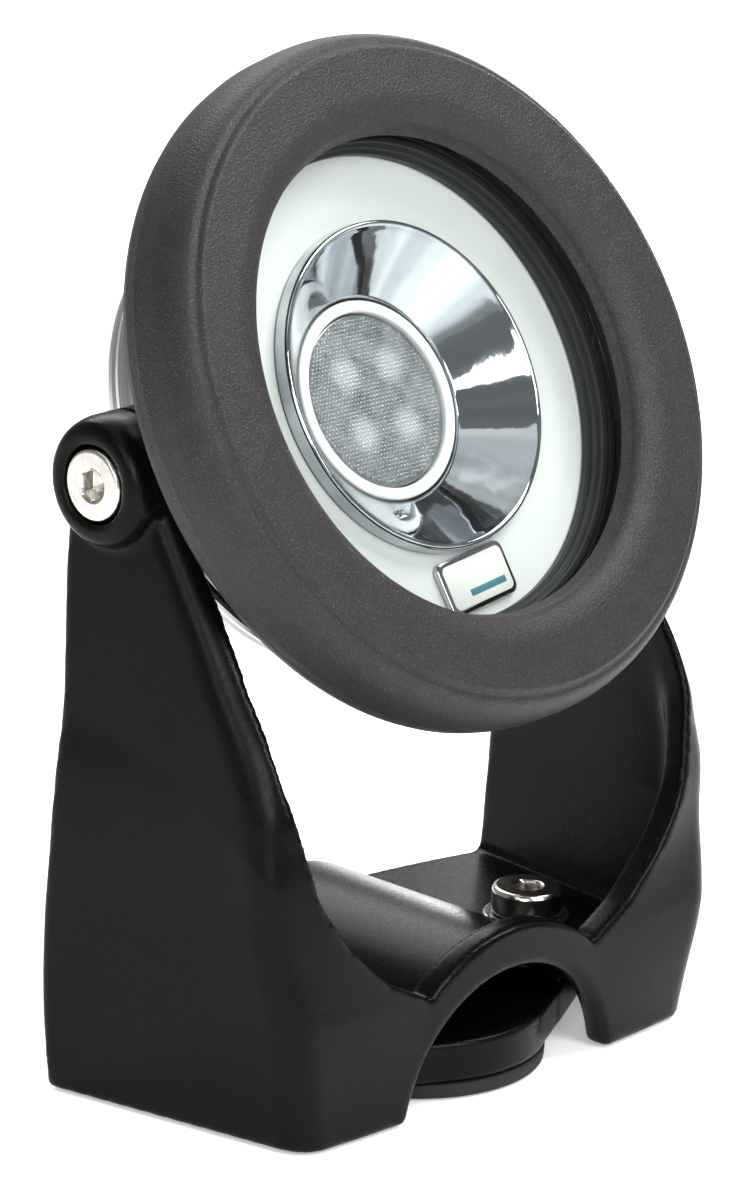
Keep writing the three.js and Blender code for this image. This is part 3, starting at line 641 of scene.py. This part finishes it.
def foot_field(x, y, z):
    """Round foot drawn out to an ear on each side, hollow underneath, with a nut pocket in each ear."""
    x, y = np.abs(x), np.abs(y - FOOT_Y)
    lean = (FOOT_R - EAR_R) / EAR_X
    run = math.sqrt(1 - lean**2)
    from_middle = np.sqrt(x**2 + y**2)
    from_ear = np.sqrt((x - EAR_X) ** 2 + y**2)
    along = run * x - lean * y
    outline = np.where(along < 0, from_middle - FOOT_R, run * y + lean * x - FOOT_R)
    outline = np.where(along > run * EAR_X, from_ear - EAR_R, outline)
    body = both(outline, z - FOOT_TOP, 1.1)
    ear = np.minimum(both(outline, 27.5 - from_middle, 1.0), from_ear - 8.9)
    ear = both(ear, z - EAR_TOP, 0.9)
    body = either(body, ear, 0.8)
    body = both(body, PAD_TOP + 0.3 - z, 0.8)
    body = without(body, from_ear - FOOT_HOLE_R, 0.6)
    flat = np.maximum(y, 0.5 * y + 0.866 * np.abs(x - EAR_X)) - NUT_POCKET_HALF
    body = without(body, np.maximum(flat, z - 9.3), 0.6)
    return without(body, np.maximum(from_middle - 10, z - 8), 0.6)


# ---------------------------------------------------------------- bracket side
def add_bracket(looks):
    pitch = 0.72
    shape = skin(bracket_field, (-63, -51, -1.5), (63, 18, 125), pitch, GROUND)
    put("bracket_moulding", *shape, looks["black_plastic"], "bracket", ["bracket"], "black_plastic", 180)
    shape = skin(foot_field, (-43, -50, 1.5), (43, 2, 15), 0.5, GROUND)
    put("foot_moulding", *shape, looks["foot_plastic"], "bracket", ["foot"], "black_plastic", 180)
    pad = rounded([(10.5, 0), (FOOT_R - 0.2, 0), (FOOT_R, PAD_TOP), (10.5, PAD_TOP)], 0.7)
    shape = turned(pad, GROUND @ Matrix.Translation((0, FOOT_Y, 0)), 160)
    put("foot_pad_rubber", *shape, looks["rubber"], "bracket", ["foot_pad"], "rubber")


def cap_screw(place, length):
    """Low head cap screw along +Z, with the underside of its head at z = 0 and a hexagon socket."""
    top, head, shank = 5.0, 6.5, 4.0  # height of the head, radii of head and shank
    socket = 5.0  # across its flats
    rings = [
        (0, -length, 0), (shank - 0.7, -length, 0), (shank - 0.05, -length + 0.8, 0), (shank - 0.05, 0, 0),
        (head - 0.25, 0, 0), (head, 0.25, 0), (head, top - 0.95, 0), (head - 0.06, top - 0.75, 0),
        (head - 0.32, top - 0.22, 0), (head - 0.5, top - 0.08, 0), (head - 0.85, top, 0),
        (3.25, top, 0), (3.1, top - 0.05, 0), (2.95, top - 0.22, socket + 0.55), (2.9, top - 0.5, socket),
        (2.89, top - 2.85, socket), (2.5, top - 2.95, socket - 0.4), (0, top - 3.5, 0),
    ]
    return turned_hexagonal(rings, place)


def hex_nut(place, low, high, flats, bore):
    """Chamfered nut between two heights, with its size across flats and the radius of its bore."""
    corner = flats / math.sqrt(3)
    face, chamfer = flats / 2 - 0.2, 0.65
    rings = [
        (bore, low + 0.4, 0), (bore + 0.4, low, 0), (face, low, flats), (corner, low + chamfer, flats),
        (corner, high - chamfer, flats), (face, high, flats), (bore + 0.4, high, 0), (bore, high - 0.4, 0),
    ]
    return turned_hexagonal(rings, place)


def add_fasteners(looks):
    for sign, side in ((-1, "left"), (1, "right")):
        at = GROUND @ Matrix.Translation((sign * EAR_X, FOOT_Y, 0))
        washer = rounded([(4.5, 17.2), (8, 17.2), (8, 18.6), (4.5, 18.6)], 0.3, 3)
        shape = turned(washer, at, 96)
        put(f"washer_{side}", *shape, looks["steel"], "bracket", [f"clamp_washer_{side}"], "steel")
        shape = cap_screw(at @ Matrix.Translation((0, 0, 18.8)), length=15.5)
        node = f"clamp_screw_{side}"
        put(f"cap_screw_{side}", *shape, looks["steel"], node, [node], "steel")
        shape = hex_nut(at, low=PAD_TOP + 0.6, high=9, flats=13, bore=4.3)
        put(f"hex_nut_{side}", *shape, looks["steel"], "bracket", [f"clamp_nut_{side}"], "steel")
        sideways = Matrix.Rotation(sign * math.radians(90), 4, "Y")
        seat = Matrix.Translation((sign * (EYE_FACE_X - 5), 0, PIVOT_Z)) @ sideways
        shape = cap_screw(GROUND @ seat, length=15)
        node = f"pivot_screw_{side}"
        put(f"tilt_screw_{side}", *shape, looks["steel"], node, [node], "steel")


# ---------------------------------------------------------------- lamp head
RING_R, CREASE_R, FRONT_D = 62.1, 58.0, 35.6
POT_R, POT_MOUTH_R, POT_WALL = 43.6, 46.0, 0.8
LENS_R, LENS_TOP = 15.7, 13.72
LED_OFFSET = 5.6  # each source sits this far off the lamp's axis, both ways


def quarter(start, end, steps, leave_along_h=True):
    """Points on an elliptical quarter between two (r, h) points, ends included."""
    out = []
    for i in range(steps + 1):
        t = math.pi / 2 * i / steps
        s, c = (1 - math.cos(t), math.sin(t)) if leave_along_h else (math.sin(t), 1 - math.cos(t))
        out.append((start[0] + (end[0] - start[0]) * s, start[1] + (end[1] - start[1]) * c))
    return out


def add_shell(looks):
    """Front ring, window, seals and the ring that holds the pot's flange."""
    shoulder = quarter((CREASE_R + 0.9, FRONT_D - 1.25), (RING_R + 0.2, FRONT_D - 10.4), 18, False)
    shoulder = [p for p in shoulder if p[0] < RING_R - 0.03]
    back = [(RING_R, FRONT_D - 8.1), (RING_R, 22.6), (61.6, 19.9), (61.0, 18.5), (60, 17.6)]
    lip = quarter((50.2, FRONT_D), (44, FRONT_D - 3.4), 12, False)
    step = ((-0.7, 0), (-0.3, -0.08), (0, -0.3), (0.2, -0.62), (0.4, -0.98), (0.6, -1.16))
    front = [(CREASE_R + r, FRONT_D + d) for r, d in step]
    recess = [(60, 17.6), (52.8, 17.6), (52.8, 22.8), (47.4, 22.8), (47.4, 30.3), (43, 30.3), (44, 32.2)]
    profile = [*lip[::-1], *front, *shoulder, *back, *rounded(recess, 0.4, 3, False)[1:-1]]
    shape = turned(profile, LAMP_AXIS, 200)
    put("ring_moulding", *shape, looks["grey_plastic"], "head", ["front_ring"], "grey_plastic", 50)

    pane = rounded([(0, 25.5), (46.6, 25.5), (46.6, 29.5), (0, 29.5)], 0.4, 3, False)
    shape = turned(pane, LAMP_AXIS, 160)
    put("window_pane", *shape, looks["clear_glass"], "head", ["window_glass"], "clear_glass")
    for node, section in (
        ("front_gasket", [(44.2, 29.75), (46.6, 29.75), (46.6, 30.05), (44.2, 30.05)]),
        ("housing_seal", [(45.3, 22.7), (47.1, 22.7), (47.1, 25.2), (45.3, 25.2)]),
    ):
        shape = turned(rounded(section, 0.5, 3), LAMP_AXIS, 128)
        put(f"{node}_rubber", *shape, looks["rubber"], "head", [node], "rubber")
    holder = rounded([(46.4, 18.2), (52.4, 18.2), (52.4, 20.6), (46.4, 20.6)], 0.4, 3)
    shape = turned(holder, LAMP_AXIS, 128)
    put("retainer", *shape, looks["drawn_steel"], "head", ["retaining_ring"], "steel")


def add_pot(looks):
    """Drawn pot with a flange, a rolled bead and the cable hole in its floor."""

    def wall(offset):
        r, mouth, floor = POT_R - offset, POT_MOUTH_R - offset, -12.6 + offset
        bead = [(r, -1.6), (r + 0.22, -2.3), (r + 0.32, -3.2), (r + 0.3, -4.2), (r, -5.2)]
        corner = quarter((r, -5.2), (POT_R - 7, floor), 10)
        return [(mouth, 20.9), (mouth, 17.6), (r + 0.4, 15.9), (r, 15.1), *bead, *corner[1:]]

    outside = wall(0)
    inside = [(min(r, POT_MOUTH_R - POT_WALL), h) for r, h in wall(POT_WALL)]
    inside[0] = (POT_MOUTH_R - POT_WALL, 22.4)
    profile = [(52, 22.4), (52, 20.9), *outside, (6.6, -12.6), (6.6, -11.8), *inside[::-1]]
    shape = turned(profile, LAMP_AXIS, 180)
    put("pot_shell", *shape, looks["drawn_steel"], "head", ["pot_housing"], "steel", 45)


def add_optics(looks):
    steps = [
        (43.7, 25.2), (43.7, 23.9), (43, 23.9), (43, 22.5), (42.3, 22.5), (42.3, 21.1),
        (44.9, 21.1), (44.9, 25.2),
    ]
    shape = turned(rounded(steps, 0.12, 2), LAMP_AXIS, 180)
    put("baffle_rings", *shape, looks["dark_baffle"], "head", ["light_baffle"], "dark_baffle")
    plate = rounded([(29.4, 19.8), (44.6, 19.8), (44.6, 20.8), (29.5, 20.8)], 0.25, 3)
    shape = turned(plate, LAMP_AXIS, 180)
    put("aperture_disc", *shape, looks["white_plastic"], "head", ["aperture_plate"], "white_plastic")

    inner = [(18.6, 13.9), (21.8, 16.95), (25.0, 20.1), (28.2, 23.3)]
    heights = np.linspace(inner[0][1], inner[-1][1], 22)
    wall = spline([(h, r) for r, h in inner], heights)
    rim = [
        (28.75, 23.9), (29.05, 24.15), (29.35, 24.2), (29.65, 24.05), (29.87, 23.7), (29.9, 23.3),
        (29.9, 21.2),
    ]
    outer = [(28.8, 21.2), (28, 18.6), (26.1, 16.3), (23, 14), (18.6, 12.6)]
    profile = [*zip(wall.tolist(), heights.tolist()), *rim, *outer]
    shape = turned(profile, LAMP_AXIS, 200)
    put("bowl", *shape, looks["bowl_chrome"], "head", ["reflector"], "chrome", 60)

    ring = rounded([(16, 9.6), (18.2, 9.6), (18.2, 14.2), (16, 14.2)], 0.55, 4)
    shape = turned(ring, LAMP_AXIS, 140)
    put("holder_ring", *shape, looks["white_plastic"], "head", ["lens_holder"], "white_plastic")
    add_lens(looks)


def add_lens(looks):
    """Shallow lens whose face is covered in small six-sided cells."""
    edge_r, pitch, rise = LENS_R, 0.80, 0.16
    body = [(0, 12), (edge_r - 0.2, 12), (edge_r, 12.2), (edge_r, 13.1), (edge_r - 0.25, 13.25), (0, 13.3)]
    shape = turned(body, LAMP_AXIS, 120)
    put("lens_body", *shape, looks["lens_plastic"], "head", [], "lens_plastic")

    def face_height(x, y):
        return LENS_TOP - 0.4 * (x * x + y * y) / edge_r**2

    build = bmesh.new()
    corner = pitch / math.sqrt(3)
    count = int(edge_r / pitch) + 2
    for row in range(-count, count + 1):
        for column in range(-count, count + 1):
            cx = pitch * (column + 0.5 * (row % 2))
            cy = pitch * row * math.sqrt(3) / 2
            if math.hypot(cx, cy) > edge_r - corner - 0.05:
                continue
            rings = []
            for scale, lift in ((1.0, 0.0), (0.74, 0.55 * rise), (0.4, 0.9 * rise)):
                ring = []
                for k in range(6):
                    a = math.radians(60 * k + 30)
                    px, py = cx + scale * corner * math.cos(a), cy + scale * corner * math.sin(a)
                    ring.append(build.verts.new((px, py, face_height(px, py) + lift)))
                rings.append(ring)
            middle = build.verts.new((cx, cy, face_height(cx, cy) + rise))
            for k in range(6):
                n = (k + 1) % 6
                for low, high in zip(rings, rings[1:]):
                    build.faces.new((low[k], low[n], high[n], high[k]))
                build.faces.new((rings[-1][k], rings[-1][n], middle))
    bmesh.ops.remove_doubles(build, verts=build.verts, dist=0.02)
    rim = [e for e in build.edges if e.is_boundary]
    skirt = bmesh.ops.extrude_edge_only(build, edges=rim)["geom"]
    low_edges = [g for g in skirt if isinstance(g, bmesh.types.BMEdge) and g.is_boundary]
    underside = 13.0
    for vertex in {v for e in low_edges for v in e.verts}:
        vertex.co.z = underside
    bmesh.ops.holes_fill(build, edges=low_edges, sides=0)
    bmesh.ops.recalc_face_normals(build, faces=build.faces)
    build.verts.index_update()
    vertices = [LAMP_AXIS @ v.co for v in build.verts]
    faces = [[v.index for v in f.verts] for f in build.faces]
    build.free()
    put("lens_cells", vertices, faces, looks["lens_plastic"], "head", ["micro_lens"], "lens_plastic", 24)


def rounded_plate(width, height, corner, low, high, edge, place):
    """A plate with rounded corners and a bevel of edge round its front face, along local +Z."""
    rings = []
    for inset, level in ((0, low), (0, high - edge), (edge * 0.3, high - edge * 0.3), (edge, high)):
        w, h, r = width / 2 - inset, height / 2 - inset, max(0.05, corner - inset)
        ring = []
        for quadrant, (sx, sy) in enumerate(((1, -1), (1, 1), (-1, 1), (-1, -1))):
            for k in range(9):
                a = math.radians(-90 + 90 * quadrant + 90 * k / 8)
                ring.append((sx * (w - r) + r * math.cos(a), sy * (h - r) + r * math.sin(a), level))
        rings.append(ring)
    count = len(rings[0])
    vertices = [place @ Vector(p) for ring in rings for p in ring]
    faces = [list(range(count))[::-1], [3 * count + k for k in range(count)]]
    for s in range(len(rings) - 1):
        for k in range(count):
            n = (k + 1) % count
            faces.append([s * count + k, s * count + n, (s + 1) * count + n, (s + 1) * count + k])
    return vertices, faces


def add_badge(looks):
    turn = Matrix.Rotation(math.radians(6), 4, "Z")
    place = LAMP_AXIS @ Matrix.Translation((1.2, -35.4, 0)) @ turn
    shape = rounded_plate(width=17.6, height=10.0, corner=1.8, low=21.1, high=22.15, edge=0.55, place=place)
    put("badge_edge", *shape, looks["chrome"], "head", ["badge_frame"], "chrome", 25)
    shape = rounded_plate(width=15.7, height=8.1, corner=1.2, low=21.6, high=22.28, edge=0.12, place=place)
    put("badge_plate", *shape, looks["badge_white"], "head", ["badge_face"], "white_plastic", 25)
    bar = place @ Matrix.Translation((1.6, -1.9, 0))
    shape = rounded_plate(width=9.4, height=1.2, corner=0.12, low=21.9, high=22.36, edge=0.05, place=bar)
    put("badge_stripe", *shape, looks["teal"], "head", ["badge_bar"], "teal", 25)


def add_gland(looks):
    back = LAMP @ Matrix.Rotation(math.radians(-90), 4, "X")
    shape = hex_nut(back, low=8.4, high=11.4, flats=17, bore=6.5)
    put("inlet_locknut", *shape, looks["brass"], "head", ["gland_locknut"], "brass")
    rings = [
        (4.6, 7.2, 0), (4.8, 7, 0), (6.0, 7, 0), (6.2, 7.2, 0), (6.2, 12.9, 0), (8.8, 12.9, 18),
        (10.39, 13.4, 18), (10.39, 15.9, 18), (8.8, 16.4, 18), (6.2, 16.4, 0), (6.2, 19.8, 0), (6.0, 20, 0),
        (4.8, 20, 0), (4.6, 19.8, 0),
    ]
    put("inlet_body", *turned_hexagonal(rings, back), looks["brass"], "head", ["gland_body"], "brass")
    dome = quarter((8.3, 21.4), (5, 26.4), 8)
    rings = [
        (6.6, 16.9, 0), (6.8, 16.7, 0), (8.3, 16.7, 17), (9.81, 17.3, 17), (9.81, 20.8, 17), (8.5, 21.3, 17),
        *[(r, h, 0) for r, h in dome], (4.6, 26.5, 0), (3.7, 26.4, 0), (3.4, 26.0, 0), (3.4, 24.6, 0),
        (6.6, 22.8, 0),
    ]
    shape = turned_hexagonal(rings, back)
    put("inlet_nut", *shape, looks["black_plastic"], "gland_nut", ["gland_nut"], "black_plastic")
    seal = rounded([(3.1, 20.3), (6.2, 20.3), (6.2, 22.6), (4.4, 23.7), (3.1, 23.7)], 0.35, 3)
    put("inlet_seal", *turned(seal, back, 96), looks["rubber"], "head", ["gland_seal"], "rubber")


def paint_cad_nodes(looks):
    """CAD nodes that keep their shape take the finish of their material slot."""
    for name, look in (
        ("pivot_lug_left", "black_plastic"), ("pivot_lug_right", "black_plastic"),
        ("pivot_insert_left", "brass"), ("pivot_insert_right", "brass"), ("led_board", "circuit_white"),
        ("led_1", "phosphor"), ("led_2", "phosphor"), ("led_3", "phosphor"), ("led_4", "phosphor"),
        ("heat_spreader", "aluminium"), ("driver_board", "circuit_green"), ("driver_capacitor", "aluminium"),
    ):
        node = frame["nodes"][name]
        for material_slot in node.material_slots:
            material_slot.material = looks[look]


LOOKS = make_looks()
LED_SIDES = (-LED_OFFSET, LED_OFFSET)
LED_PLACES = [LAMP_AXIS @ Vector((x, y, 13.6)) for x in LED_SIDES for y in LED_SIDES]
add_patches(LOOKS["lens_plastic"], LED_PLACES, radius_mm=4.6, color=(0.40, 0.42, 0.43))
add_camera()
add_floor()
add_surroundings()
add_lights()
add_bracket(LOOKS)
add_fasteners(LOOKS)
add_shell(LOOKS)
add_pot(LOOKS)
add_optics(LOOKS)
add_badge(LOOKS)
add_gland(LOOKS)
paint_cad_nodes(LOOKS)
